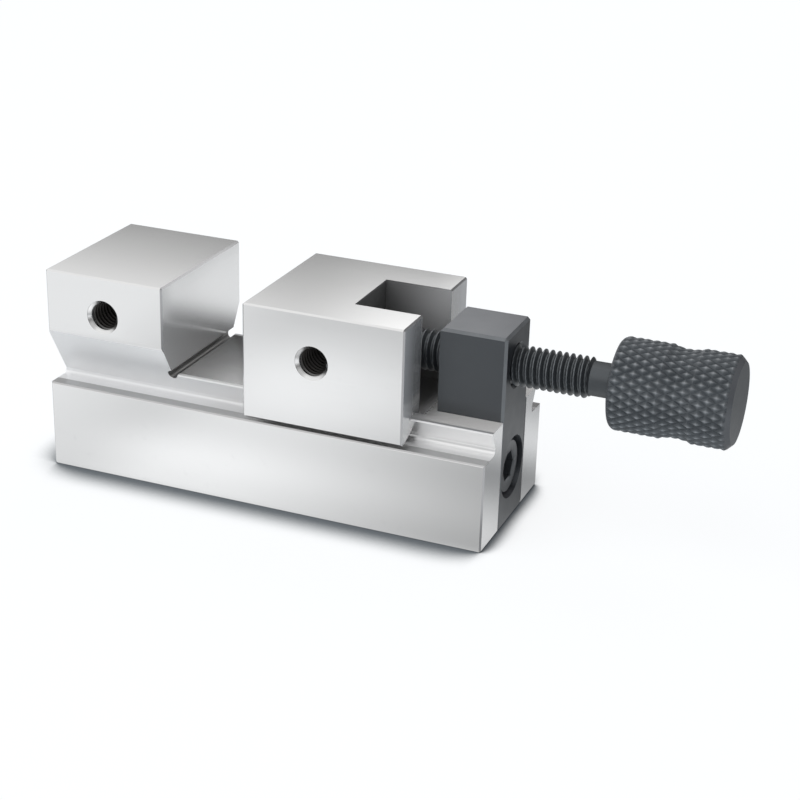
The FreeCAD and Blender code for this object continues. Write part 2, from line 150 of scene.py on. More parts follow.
class Shader:
    """A node tree under construction."""

    def __init__(self, tree: bpy.types.NodeTree) -> None:
        """Empty the tree."""
        self.tree = tree
        self.tree.nodes.clear()

    def node(self, kind: str, settings: dict, inputs: dict, output: int | str = 0) -> Value:
        """Add one node.

        Args:
            kind: the node's type.
            settings: its own properties, set before its inputs.
            inputs: a value or a link for each socket that isn't left as it is.
            output: the socket to return.

        Returns:
            The chosen output, or nothing where the node has none.
        """
        made = self.tree.nodes.new(kind)
        for name, setting in settings.items():
            setattr(made, name, setting)
        for name, given in inputs.items():
            if isinstance(given, Value):
                self.tree.links.new(given.socket, made.inputs[name])
            else:
                made.inputs[name].default_value = given
        return Value(self, made.outputs[output]) if made.outputs else None

    def axes(self, vector: Value) -> tuple[Value, Value, Value]:
        """The x, y and z of a vector."""
        separated = self.node("ShaderNodeSeparateXYZ", {}, {0: vector})
        return tuple(Value(self, socket) for socket in separated.socket.node.outputs)

    def sight(self) -> tuple[Value, Value]:
        """Tell the rays that meet the surface apart.

        Returns:
            1 for rays from the camera, and 1 for rays from metal or through glass; otherwise 0.
        """
        names = ("Is Camera Ray", "Is Glossy Ray", "Is Transmission Ray")
        seen, glossy, through = (self.node("ShaderNodeLightPath", {}, {}, name) for name in names)
        return seen, (glossy + through).held()

    def millimetres(self) -> Value:
        """Object coordinates in millimetres."""
        place = self.node("ShaderNodeTexCoord", {}, {}, "Object")
        return self.node("ShaderNodeVectorMath", {"operation": "SCALE"}, {0: place, "Scale": 1 / MM})

    def stretched(self, place: Value, factors: tuple[float, float, float]) -> Value:
        """A vector scaled differently along each axis."""
        return self.node("ShaderNodeVectorMath", {"operation": "MULTIPLY"}, {0: place, 1: factors})

    def noise(self, place: Value, scale: float, detail: float) -> Value:
        """Smooth noise between 0 and 1 at a number of features per unit of the vector."""
        return self.node("ShaderNodeTexNoise", {}, {"Vector": place, "Scale": scale, "Detail": detail})

    def blend(self, factor: Operand, first: Operand, second: Operand) -> Value:
        """Mix two colours by a factor."""
        settings = {"data_type": "RGBA"}
        return self.node("ShaderNodeMix", settings, {0: factor, 6: first, 7: second}, 2)

    def between(self, factor: Value, first: Operand, second: Operand) -> Value:
        """Mix two numbers by a factor."""
        return self.node("ShaderNodeMix", {"data_type": "FLOAT"}, {0: factor, 2: first, 3: second})

    def eased(self, value: Value, span: Span, ends: Span = (0.0, 1.0)) -> Value:
        """A smooth step between two numbers while a value crosses a span."""
        inputs = dict(zip(("Value", "From Min", "From Max", "To Min", "To Max"), (value, *span, *ends)))
        return self.node("ShaderNodeMapRange", {"interpolation_type": "SMOOTHSTEP"}, inputs)

    def band(self, value: Value, rise: Span, fall: Span) -> Value:
        """1 between two spans of a value, and eased to 0 across each."""
        return self.eased(value, rise) * self.eased(value, fall, (1.0, 0.0))

    def facing(self) -> tuple[Value, Value, Value]:
        """The three components of the mesh's own normal."""
        return self.axes(self.node("ShaderNodeNewGeometry", {}, {}, "True Normal"))

    def profile(self, value: Value, stops: Stops) -> Operand:
        """A smooth curve through stops.

        Args:
            value: what the curve follows.
            stops: its places and levels, in order.

        Returns:
            The curve's level.
        """
        total: Operand = stops[0][1]
        for (start, before), (end, after) in zip(stops, stops[1:]):
            total = self.eased(value, (start, end), (0.0, after - before)) + total
        return total

    def bump(self, height: Value, distance: float, strength: float) -> Value:
        """A normal tilted by a height; distance is in metres."""
        return self.node("ShaderNodeBump", {}, {"Height": height, "Distance": distance, "Strength": strength})


def grey(level: float) -> Colour:
    """A neutral colour."""
    return (level, level, level, 1.0)


def evenly(start: float, end: float, count: int) -> list[float]:
    """Places from a start to an end, a number of equal steps apart."""
    return [start + (end - start) * index / count for index in range(count + 1)]


def placed(name: str, data: bpy.types.ID) -> bpy.types.Object:
    """Add an object to the scene.

    Args:
        name: its name.
        data: its mesh, lamp or camera.

    Returns:
        The new object.
    """
    made = bpy.data.objects.new(name, data)
    bpy.context.scene.collection.objects.link(made)
    return made


def smooth(mesh: bpy.types.Mesh) -> None:
    """Shade a mesh smooth apart from its sharp edges."""
    mesh.shade_smooth()
    mesh.set_sharp_from_angle(angle=SHARP_ANGLE)


@dataclass(frozen=True)
class Finish:
    """A named surface finish; its subclasses say how it varies."""

    name: str

    def material(self) -> bpy.types.Material:
        """Build the finish as a material, or find the one that was built before.

        Returns:
            The material.
        """
        made = bpy.data.materials.get(self.name)
        if made is None:
            made = bpy.data.materials.new(self.name)
            made.use_nodes = True
            shader = Shader(made.node_tree)
            surface = self.surface(shader)
            shader.node("ShaderNodeOutputMaterial", {}, {"Surface": surface})
            report.info("finish %s", self.name)
        return made

    def surface(self, shader: Shader) -> Value:
        """The finish's shader."""
        raise NotImplementedError


@dataclass(frozen=True)
class Patch:
    """A box of the vise's frame in millimetres, the same on both sides, with an own grade of finish; several
    patches paint shade or light into the steel's colour.

    Each ease is the length over which the grade comes in at one of the box's faces, and on_ends says
    whether faces that look along the vise take it too.
    """

    along: Span
    off_middle: Span
    height: Span
    tone: Colour
    roughness: float
    metal: float = 1.0
    # Darker tone at the patch's inner end: painted shade deepening inwards.
    inner_shade_tone: Colour | None = None
    ease: float = 0.01
    end_ease: float = 0.01
    top_ease: float = 0.01
    side_ease: float = 0.01
    on_ends: bool = True

    def mask(self, shader: Shader, place: Value) -> Value:
        """Find the patch, eased at its two ends, at its inner side and at its top.

        Args:
            shader: the finish's shader.
            place: the place on the vise in millimetres.

        Returns:
            1 inside the box, otherwise 0.
        """
        along_x, along_y, along_z = shader.axes(place)
        off_middle = abs(along_y)
        start, end = self.along
        near, far = self.off_middle
        foot, top = self.height
        along = shader.band(along_x, (start, start + self.ease), (end - self.end_ease, end))
        sideways = shader.eased(off_middle, (near, near + self.side_ease)) * (off_middle < far)
        upwards = (along_z > foot) * shader.eased(along_z, (top - self.top_ease, top), (1.0, 0.0))
        return along * sideways * upwards

    def own_tone(self, shader: Shader, place: Value) -> Operand:
        """Find the patch's colour.

        Args:
            shader: the finish's shader.
            place: the place on the vise in millimetres.

        Returns:
            Its tone, which starts from the inner shade tone, a painted shade, where it has one.
        """
        if self.inner_shade_tone is None:
            return self.tone
        outwards = shader.eased(shader.axes(place)[0], self.along)
        return shader.blend(outwards, self.inner_shade_tone, self.tone)


@dataclass(frozen=True)
class CrossHole:
    """A hole or groove across the vise, by its axis and radius in millimetres, whose wall is darkened with
    painted shade.
    """

    x: float
    z: float
    radius: float = 2.56
    mouth_y: float = 12.15
    mouth_share: float = 0.15
    depth_share: float = 1.0
    fade: float = 1.3

    def near(self, shader: Shader, place: Value) -> Value:
        """Tell what lies about the hole's axis.

        Args:
            shader: the finish's shader.
            place: the place on the vise in millimetres.

        Returns:
            1 within the hole's radius of its axis, otherwise 0.
        """
        along_x, _, along_z = shader.axes(place)
        off_x = along_x - self.x
        off_z = along_z - self.z
        return (off_x * off_x + off_z * off_z) < self.radius ** 2

    def mask(self, shader: Shader, place: Value) -> Value:
        """Find the hole's wall.

        Args:
            shader: the finish's shader.
            place: the place on the vise in millimetres.

        Returns:
            0 off the wall, and on it the share of painted shade, from the share at its mouth to the share at
            its depth.
        """
        along_y = shader.axes(place)[1]
        fade_span = (self.mouth_y - self.fade, self.mouth_y)
        depth = shader.eased(abs(along_y), fade_span, (self.depth_share, self.mouth_share))
        return self.near(shader, place) * (abs(along_y) < self.mouth_y) * depth


@dataclass(frozen=True)
class GroundSteel(Finish):
    """Hardened tool steel, finely surface ground, with its grinding lines along the vise or across it."""

    patches: tuple[Patch, ...] = ()
    holes: tuple[CrossHole, ...] = ()
    tone: Colour = (0.86, 0.86, 0.857, 1.0)
    worn_tone: Colour = (0.79, 0.79, 0.79, 1.0)
    # Painted shade: hole and groove walls take this dark tone, deepening away from their mouths.
    hole_shade_tone: Colour = (0.06, 0.057, 0.054, 1.0)
    hole_roughness: float = 0.45
    roughness: float = 0.20
    end_roughness: float = 0.16
    end_metal: float = 0.80
    end_line_share: float = 0.25
    roughness_spread: float = 0.06
    line_scale: float = 5.0
    line_stretch: float = 0.02
    line_height: float = 0.0008
    end_face_share: float = 0.7
    line_detail: float = 4.0
    cloud_scale: float = 0.11
    cloud_detail: float = 3.0
    cloud_spread: float = 0.05
    mark_scale: float = 0.9
    mark_detail: float = 5.0
    mark_threshold: float = 0.62
    mark_gain: float = 6.0
    mark_share: float = 0.5
    # Painted dark reflection on the broken edges that face the knob.
    edge_tone: Colour = (0.40, 0.40, 0.405, 1.0)
    edge_rise: Span = (0.35, 0.60)
    edge_fall: Span = (0.85, 0.97)

    def edge_dark_reflection(self, shader: Shader, place: Value, endwise: Value) -> Value:
        """Find the broken edges of the faces towards the knob, which get a painted dark reflection.

        Args:
            shader: the finish's shader.
            place: the place on the vise in millimetres.
            endwise: the normal's share along the vise.

        Returns:
            1 on those edges, otherwise 0.
        """
        edge = shader.band(endwise, self.edge_rise, self.edge_fall)
        for hole in self.holes:
            edge = edge * (1.0 - hole.near(shader, place))
        return edge

    def lines(self, shader: Shader, place: Value, stretch: tuple[float, float, float]) -> Value:
        """Grinding lines drawn out along one axis."""
        drawn = shader.stretched(place, stretch)
        return shader.noise(drawn, self.line_scale, self.line_detail)

    def surface(self, shader: Shader) -> Value:
        """Metal with grinding lines, faint clouds, a few handling marks and its own patches, with painted
        shade and painted light in patches, painted shade in holes and a painted dark reflection on edges
        facing the knob.

        Args:
            shader: the finish's shader.

        Returns:
            The surface.
        """
        place = shader.millimetres()
        normal = shader.node("ShaderNodeNewGeometry", {}, {}, "Normal")
        endwise = shader.axes(normal)[0]
        across = abs(endwise) > self.end_face_share
        lengthwise = self.lines(shader, place, (self.line_stretch, 1.0, 1.0))
        crosswise = self.lines(shader, place, (1.0, self.line_stretch, 1.0))
        lines = shader.between(across, lengthwise, crosswise)
        clouds = shader.noise(place, self.cloud_scale, self.cloud_detail)
        marks = shader.noise(place, self.mark_scale, self.mark_detail) - self.mark_threshold
        marks = (marks * self.mark_gain).held() * self.mark_share
        tone = shader.blend(marks, self.tone, self.worn_tone)
        coarse = shader.between(across, self.roughness, self.end_roughness)
        metal = shader.between(across, 1.0, self.end_metal)
        # Patches paint shade into recesses and creases and lighter tone where light falls.
        for patch in self.patches:
            inside = patch.mask(shader, place)
            if not patch.on_ends:
                inside = inside * (1.0 - across)
            tone = shader.blend(inside, tone, patch.own_tone(shader, place))
            coarse = shader.between(inside, coarse, patch.roughness)
            metal = shader.between(inside, metal, patch.metal)
        # Painted dark reflection on the edges facing the knob.
        tone = shader.blend(self.edge_dark_reflection(shader, place, endwise), tone, self.edge_tone)
        # Painted shade on the walls of the holes and the relief groove.
        for hole in self.holes:
            drilled = hole.mask(shader, place)
            tone = shader.blend(drilled, tone, self.hole_shade_tone)
            coarse = shader.between(drilled, coarse, self.hole_roughness)
        roughness = coarse + self.roughness_spread * (lines - 0.5) + self.cloud_spread * (clouds - 0.5)
        relief = lines * shader.between(across, 1.0, self.end_line_share)
        inputs = {
            "Base Color": tone,
            "Metallic": metal,
            "Roughness": roughness.held(),
            "Normal": shader.bump(relief, self.line_height * MM, 1.0),
        }
        return shader.node("ShaderNodeBsdfPrincipled", {}, inputs)


@dataclass(frozen=True)
class BlackOxide(Finish):
    """Black oxide on machined steel, a little lighter where it is handled."""

    tone: Colour = (0.035, 0.037, 0.040, 1.0)
    pale_tone: Colour = (0.065, 0.068, 0.072, 1.0)
    roughness: float = 0.38
    ior: float = 1.9
    gloss_tint: Colour = (0.90, 0.96, 1.0, 1.0)
    cloud_scale: float = 0.35
    cloud_detail: float = 4.0
    cloud_spread: float = 0.16
    tooth_scale: float = 9.0
    tooth_detail: float = 3.0
    tooth_spread: float = 0.10
    tooth_height: float = 0.004
    tooth_strength: float = 0.6

    def dark(self, shader: Shader, clouds: Value) -> Value:
        """The oxide's own colour, clouded."""
        return shader.blend(clouds, self.tone, self.pale_tone)

    def surface(self, shader: Shader) -> Value:
        """Satin black with soft clouds and a fine tooth.

        Args:
            shader: the finish's shader.

        Returns:
            The surface.
        """
        clouds, tooth = self.grain(shader)
        roughness = self.roughness + self.cloud_spread * (clouds - 0.5) + self.tooth_spread * (tooth - 0.5)
        return self.satin(shader, self.dark(shader, clouds), roughness, tooth)

    def grain(self, shader: Shader) -> tuple[Value, Value]:
        """Vary the oxide.

        Args:
            shader: the finish's shader.

        Returns:
            Its soft clouds and its fine tooth.
        """
        place = shader.millimetres()
        clouds = shader.noise(place, self.cloud_scale, self.cloud_detail)
        return clouds, shader.noise(place, self.tooth_scale, self.tooth_detail)

    def satin(self, shader: Shader, tone: Value, roughness: Value, tooth: Value) -> Value:
        """Put the oxide's surface together from what varies over it.

        Args:
            shader: the finish's shader.
            tone: its colour.
            roughness: its roughness, not yet held.
            tooth: its fine relief.

        Returns:
            The surface.
        """
        inputs = {
            "Base Color": tone,
            "IOR": self.ior,
            "Specular Tint": self.gloss_tint,
            "Roughness": roughness.held(),
            "Normal": shader.bump(tooth, self.tooth_height * MM, self.tooth_strength),
        }
        return shader.node("ShaderNodeBsdfPrincipled", {}, inputs)


@dataclass(frozen=True)
class EdgedOxide(BlackOxide):
    """Black oxide on a flat-sided block whose broken edges are paler, as wear and as painted highlight, and
    whose top faces carry painted light.
    """

    # Edges paler as wear and as painted highlight.
    edge_tone: Colour = (0.16, 0.165, 0.17, 1.0)
    edge_span: Span = (0.76, 0.95)
    edge_least: float = 0.3
    # Painted light on the block's top faces.
    top_light_tone: Colour = (0.11, 0.11, 0.118, 1.0)
    top_span: Span = (0.90, 0.98)
    tone: Colour = (0.009, 0.010, 0.013, 1.0)
    pale_tone: Colour = (0.018, 0.020, 0.025, 1.0)
    ior: float = 2.0

    def dark(self, shader: Shader, clouds: Value) -> Value:
        """Pale the oxide on top as painted light, and as wear and painted highlight where it faces between
        two of the block's axes.

        Args:
            shader: the finish's shader.
            clouds: its soft clouds.

        Returns:
            Its colour.
        """
        facing = shader.facing()
        sides = [abs(side) for side in facing]
        squarest = shader.node("ShaderNodeMath", {"operation": "MAXIMUM"}, {0: sides[0], 1: sides[1]})
        squarest = shader.node("ShaderNodeMath", {"operation": "MAXIMUM"}, {0: squarest, 1: sides[2]})
        # Edges paler as wear and as painted highlight.
        edge_wear_and_highlight = shader.eased(squarest, self.edge_span, (1.0, 0.0))
        # Painted light on top faces.
        on_top = shader.eased(facing[2], self.top_span)
        tone = shader.blend(on_top, super().dark(shader, clouds), self.top_light_tone)
        clouded = self.edge_least + (1 - self.edge_least) * clouds
        return shader.blend(edge_wear_and_highlight * clouded, tone, self.edge_tone)


@dataclass(frozen=True)
class CrestedOxide(BlackOxide):
    """Black oxide on a turned piece whose crests are paler than its roots, as wear and as painted highlight,
    with painted shade on the crests in the gap before the bracket and its own rim tone, a painted highlight
    on the knob.
    """

    axis_height: float = 24.3
    crest_radius: float = field(kw_only=True)
    crest_depth: float = field(kw_only=True)
    # Crests paler as wear and as painted highlight.
    crest_wear_and_highlight_tone: Colour = (0.44, 0.45, 0.46, 1.0)
    crest_power: float = 3.5
    waist_middle: float = 0.0
    waist_half: float = 1.0
    waist_depth: float = 0.0
    # Rim tone; on the knob it is a painted highlight on the bevels.
    rim_highlight_tone: Colour = (0.03, 0.032, 0.034, 1.0)
    rim_rise: Span = (0.40, 0.62)
    rim_fall: Span = (0.85, 0.97)
    # Painted shade: along this span the crests go from darkened to full, for the gap before the bracket.
    gap_shade_span: Span = (18.0, 27.0)
    gap_shade_start: float = 1.0
    rub_least: float = 0.5
    crest_polish: float = 0.08
    cloud_scale: float = 0.5
    cloud_spread: float = 0.12
    tooth_scale: float = 8.0
    tooth_height: float = 0.003

    def surface(self, shader: Shader) -> Value:
        """Black oxide that pales towards the crests as wear and as painted highlight, with painted shade and
        a painted rim highlight.

        Args:
            shader: the finish's shader.

        Returns:
            The surface.
        """
        along_x, along_y, along_z = shader.axes(shader.millimetres())
        height = along_z - self.axis_height
        radius = (along_y * along_y + height * height) ** 0.5
        off_waist = (along_x - self.waist_middle) / self.waist_half
        lowered = (1.0 - off_waist * off_waist).held() * self.waist_depth
        crest = ((radius + lowered - (self.crest_radius - self.crest_depth)) / self.crest_depth).held()
        clouds, tooth = self.grain(shader)
        crest_wear_highlight_and_shade = crest ** self.crest_power * (self.rub_least + (1 - self.rub_least) * clouds)
        # Painted shade on the crests in the gap before the bracket.
        crest_wear_highlight_and_shade = crest_wear_highlight_and_shade * shader.eased(along_x, self.gap_shade_span, (self.gap_shade_start, 1.0))
        tone = shader.blend(crest_wear_highlight_and_shade, self.dark(shader, clouds), self.crest_wear_and_highlight_tone)
        # Rim tone, a painted highlight on the knob's bevels.
        rim = shader.band(abs(shader.facing()[0]), self.rim_rise, self.rim_fall)
        tone = shader.blend(rim, tone, self.rim_highlight_tone)
        roughness = self.roughness + self.cloud_spread * (clouds - 0.5) - self.crest_polish * crest
        return self.satin(shader, tone, roughness, tooth)


@dataclass(frozen=True)
class StudioFloor(Finish):
    """Pale floor, white to the eye with the object's shadow, and graded light to metal.

    Its levels go by the place on the floor in millimetres: before the vise, behind it and beside its knob.
    """

    tone: Colour = (0.70, 0.78, 0.84, 1.0)
    seen_lift: float = 0.86
    seen_share: float = 0.25
    foot_reach: float = 0.009
    foot_samples: int = 24
    foot_span: Span = (0.52, 0.92)
    end_span: Span = (34.0, 38.0)
    end_relief: float = 0.18
    mirrored_share: float = 0.20
    mirrored_level: float = 0.91
    sideways_levels: Stops = (
        (-60.0, 0.90), (-36.0, 0.80), (-18.0, 1.0), (-15.0, 1.0), (40.0, 0.46), (50.0, 1.1),
    )
    front_levels: Stops = (
        (-90.0, 0.58), (-62.0, 1.04), (-50.0, 1.02), (-38.0, 0.84), (-24.0, 1.05), (-14.0, 0.96),
    )
    front_reach: Span = (-44.0, -28.0)
    foot_edge: Span = (-15.0, -9.0)
    behind_levels: Stops = ((26.0, 0.62), (38.0, 0.08), (50.0, 0.08), (64.0, 0.92))
    behind_reach: Span = (-12.0, 4.0)
    beside_levels: Stops = ((-7.0, 0.76), (13.0, 0.30), (28.0, 0.76), (44.0, 0.45), (60.0, 0.32))
    beside_reach: Span = (25.0, 38.0)

    def surface(self, shader: Shader) -> Value:
        """Matt floor, lifted to plain white where seen and to graded light where mirrored.

        Args:
            shader: the finish's shader.

        Returns:
            The surface.
        """
        seen, mirrored = shader.sight()
        pool = self.pool(shader)
        settings = {"samples": self.foot_samples}
        openness = shader.node("ShaderNodeAmbientOcclusion", settings, {"Distance": self.foot_reach}, "AO")
        sideways = shader.axes(shader.millimetres())[0]
        openness = openness + shader.eased(sideways, self.end_span, (0.0, self.end_relief))
        foot = shader.eased(openness, self.foot_span)
        lift = seen * foot * self.seen_lift + mirrored * pool * self.mirrored_level
        seen_matt = shader.between(seen, 1.0, self.seen_share)
        matt_level = shader.between(mirrored, seen_matt, pool * self.mirrored_share)
        inputs = {
            "Base Color": shader.blend(matt_level, grey(0.0), self.tone),
            "Roughness": 1.0,
            "Specular IOR Level": 0.0,
            "Emission Color": shader.blend(lift, grey(0.0), grey(1.0)),
            "Emission Strength": 1.0,
        }
        return shader.node("ShaderNodeBsdfPrincipled", {}, inputs)

    def pool(self, shader: Shader) -> Value:
        """Grade the floor before the vise, behind it and beside its knob.

        Args:
            shader: the finish's shader.

        Returns:
            The light that metal sees in the floor.
        """
        sideways, backwards, _ = shader.axes(shader.millimetres())
        front = shader.eased(sideways, self.front_reach)
        front = shader.between(front, 1.0, shader.profile(backwards, self.front_levels))
        before = shader.profile(sideways, self.sideways_levels) * front
        level = self.behind_levels[0][1]
        behind = shader.eased(sideways, self.behind_reach)
        behind = shader.between(behind, level, shader.profile(backwards, self.behind_levels))
        beside = shader.eased(sideways, self.beside_reach)
        behind = shader.between(beside, behind, shader.profile(backwards, self.beside_levels))
        return shader.between(shader.eased(backwards, self.foot_edge), before, behind)


@dataclass(frozen=True)
class ReflectorCard(Finish):
    """A card that only metal sees: dark at its foot, brighter above, and brightest opposite the bracket.

    Its levels go by height and, above near_rise, also by the place along the vise, in millimetres.
    """

    strength: float = 1.5
    rise_levels: Stops = (
        (26.0, 0.03), (43.0, 0.05), (50.0, 0.28), (55.0, 0.34), (61.0, 0.53), (68.0, 0.70), (90.0, 0.58),
    )
    near_levels: Stops = (
        (-50.0, 1.0), (-28.0, 0.90), (-3.0, 1.45), (-1.0, 1.45),
        (7.0, 2.4), (10.0, 2.4), (18.0, 1.0), (30.0, 0.4),
    )
    near_rise: Span = (48.0, 53.0)

    def surface(self, shader: Shader) -> Value:
        """Plain light that changes with height and to the side.

        Args:
            shader: the finish's shader.

        Returns:
            The surface.
        """
        sideways, _, upwards = shader.axes(shader.millimetres())
        near = shader.eased(upwards, self.near_rise)
        near = shader.between(near, 1.0, shader.profile(sideways, self.near_levels))
        level = shader.profile(upwards, self.rise_levels) * near
        tone = shader.blend(level, grey(0.0), grey(1.0))
        return shader.node("ShaderNodeEmission", {}, {"Color": tone, "Strength": self.strength})


class Outline(Enum):
    """How a ring of a turned piece is shaped."""

    ROUND = "round"
    HEXAGON = "hexagon"


@dataclass(frozen=True)
class Ring:
    """One ring of a turned piece, in millimetres along and from its axis."""

    x: float
    radius: float
    outline: Outline = Outline.ROUND
    rule: RadiusRule | None = None

    def radius_at(self, angle: float) -> float:
        """Follow the ring round.

        Args:
            angle: the angle about the axis.

        Returns:
            The ring's radius there.
        """
        if self.rule is not None:
            return self.rule(self.x, angle)
        if self.outline is Outline.HEXAGON:
            sixth = FULL_TURN / 6
            return self.radius / math.cos((angle % sixth) - sixth / 2)
        return self.radius


@dataclass
class TurnedMesh:
    """Mesh of a turned piece, built ring by ring along X about an axis."""

    sides: int
    rings: list[Ring] = field(default_factory=list)

    def trace(self, *points: Span, outline: Outline = Outline.ROUND) -> None:
        """Add a ring for each place and radius, or a pole where the radius is 0."""
        self.rings += [Ring(x, radius, outline) for x, radius in points]

    def follow(self, places: list[float], rule: RadiusRule) -> None:
        """Add a ring at each place, its radius given by the place and the angle."""
        self.rings += [Ring(x, 1.0, rule=rule) for x in places]

    def build(self, name: str, place: Matrix) -> bpy.types.Object:
        """Make the object.

        Args:
            name: the piece's name.
            place: from the turned frame, in millimetres, to the vise's frame in metres.

        Returns:
            The new object, closed and with its sharp edges marked.
        """
        mesh_maker = bmesh.new()
        loops = [self.ring_vertices(mesh_maker, ring) for ring in self.rings]
        for first, second in zip(loops, loops[1:]):
            self.join(mesh_maker, first, second)
        bmesh.ops.recalc_face_normals(mesh_maker, faces=mesh_maker.faces)
        mesh = bpy.data.meshes.new(name)
        mesh_maker.to_mesh(mesh)
        mesh_maker.free()
        mesh.transform(place)
        smooth(mesh)
        return placed(name, mesh)

    def ring_vertices(self, mesh_maker: bmesh.types.BMesh, ring: Ring) -> list[bmesh.types.BMVert]:
        """Make one ring's vertices.

        Args:
            mesh_maker: the mesh under construction.
            ring: the ring.

        Returns:
            Its vertices in order, or the one vertex of a pole.
        """
        if ring.radius == 0:
            return [mesh_maker.verts.new((ring.x, 0, 0))]
        made = []
        for side in range(self.sides):
            angle = FULL_TURN * side / self.sides
            radius = ring.radius_at(angle)
            made.append(mesh_maker.verts.new((ring.x, radius * math.cos(angle), radius * math.sin(angle))))
        return made

    def join(self, mesh_maker: bmesh.types.BMesh, first: list, second: list) -> None:
        """Fill between two neighbouring rings, each cell split along its lower diagonal.

        Args:
            mesh_maker: the mesh under construction.
            first: one ring's vertices.
            second: the other ring's.
        """
        if len(first) == 1 or len(second) == 1:
            pole, loop = (first[0], second) if len(first) == 1 else (second[0], first)
            for side in range(self.sides):
                mesh_maker.faces.new((pole, loop[side], loop[(side + 1) % self.sides]))
            return
        for side in range(self.sides):
            after = (side + 1) % self.sides
            corners = (first[side], second[side], second[after], first[after])
            radii = [math.hypot(corner.co.y, corner.co.z) for corner in corners]
            uneven = abs(radii[0] + radii[2] - radii[1] - radii[3])
            if uneven < LEVEL_WITHIN:
                mesh_maker.faces.new(corners)
            elif radii[0] + radii[2] < radii[1] + radii[3]:
                mesh_maker.faces.new((corners[0], corners[1], corners[2]))
                mesh_maker.faces.new((corners[0], corners[2], corners[3]))
            else:
                mesh_maker.faces.new((corners[1], corners[2], corners[3]))
                mesh_maker.faces.new((corners[1], corners[3], corners[0]))


def turned_place(x: float, y: float, z: float, turn: Matrix | None = None) -> Matrix:
    """From a turned piece's own frame in millimetres to a point of the vise's frame, given in millimetres."""
    rotation = turn if turn is not None else Matrix.Identity(4)
    return Matrix.Scale(MM, 4) @ Matrix.Translation((x, y, z)) @ rotation


@dataclass(frozen=True)
class Thread:
    """A right-hand metric thread about an axis along X."""

    major: float
    pitch: float
    crest_share: float = 0.16
    root_share: float = 0.20
    steps: int = 20

    @property
    def depth(self) -> float:
        """Radial depth of the thread."""
        return METRIC_THREAD_DEPTH * self.pitch

    def radius(self, x: float, angle: float) -> float:
        """Follow the thread.

        Args:
            x: the place along the axis.
            angle: the angle about it.

        Returns:
            The thread's radius there.
        """
        phase = (x / self.pitch - angle / FULL_TURN) % 1.0
        off_crest = abs(phase - 0.5) * 2
        flank = (off_crest - self.crest_share) / (1 - self.crest_share - self.root_share)
        return self.major / 2 - self.depth * min(max(flank, 0.0), 1.0)

    def cut(self, turned: TurnedMesh, start: float, end: float, envelope: Envelope) -> None:
        """Add the rings of a threaded stretch.

        Args:
            turned: the mesh that gets the rings.
            start: where the stretch begins.
            end: where it ends.
            envelope: the turned outline's radius by place, which the thread never passes.
        """
        count = max(2, round((end - start) / self.pitch * self.steps))
        places = evenly(start, end, count)
        turned.follow(places, lambda x, angle: min(envelope(x), self.radius(x, angle)))


M5_THREAD = Thread(major=5.0, pitch=0.8)


@dataclass(frozen=True)
class Dressed:
    """A finished piece with what it rides on, stands for and takes its finish from."""

    piece: bpy.types.Object
    body: Rides
    slot: Slot
    finish: Finish
    stands_for: tuple[str, ...] = ()

    def apply(self) -> None:
        """Dress the piece and tell the frame about it."""
        self.piece.data.materials.clear()
        self.piece.data.materials.append(self.finish.material())
        if self.stands_for:
            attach(self.piece, self.body.value)
            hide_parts(*self.stands_for)
        report.info("piece %s rides on %s", self.piece.name, self.body.value)


SLOT_WALLS = Patch((24.9, 36.0), (-1.0, 5.3), (-1.0, 20.0), grey(0.70), roughness=0.45)
FLANKS = Patch(
    (-36.0, 36.0), (7.2, 12.6), (13.4, 22.0), grey(0.88), roughness=0.38, metal=0.72, on_ends=False,
)
# Painted shade on the ledges' outer rims.
LEDGE_RIM_SHADE = Patch((-36.0, 36.0), (10.5, 12.45), (13.4, 13.7), grey(0.60), roughness=0.36)
# Painted shade: the rail top between the jaws darkens towards the fixed jaw.
RAIL_GAP_SHADE = Patch(
    (-15.4, -2.0), (-1.0, 8.9), (17.2, 17.4), grey(0.86), roughness=0.20, inner_shade_tone=grey(0.50),
)
RAIL_AT_BRACKET = Patch(
    (21.5, 36.0), (-1.0, 8.9), (17.2, 17.4), (0.92, 0.90, 0.87, 1.0),
    roughness=0.40, metal=0.15, ease=5.5,
)
# Painted light: the flanks towards the bracket take a lighter tone.
RIGHT_FLANK_LIGHT = Patch(
    (10.0, 36.0), (6.0, 10.4), (13.4, 17.15), grey(0.98),
    roughness=0.32, metal=0.92, ease=12.0, on_ends=False,
)
# Painted shade in the crease at the foot of the flanks towards the bracket.
FLANK_ROOT_SHADE = Patch(
    (10.0, 36.0), (6.0, 7.9), (13.64, 14.9), grey(0.58),
    roughness=0.40, metal=0.92, ease=12.0, top_ease=1.1, on_ends=False,
)
# Painted light: the ledges towards the left end take a lighter tone.
LEFT_LEDGE_LIGHT = Patch(
    (-36.0, -4.0), (6.0, 10.4), (13.4, 14.4), grey(0.98),
    roughness=0.32, metal=0.40, end_ease=14.0, on_ends=False,
)
BODY_PATCHES = (
    SLOT_WALLS, FLANKS, LEDGE_RIM_SHADE, RAIL_GAP_SHADE, RAIL_AT_BRACKET, RIGHT_FLANK_LIGHT, FLANK_ROOT_SHADE, LEFT_LEDGE_LIGHT,
)
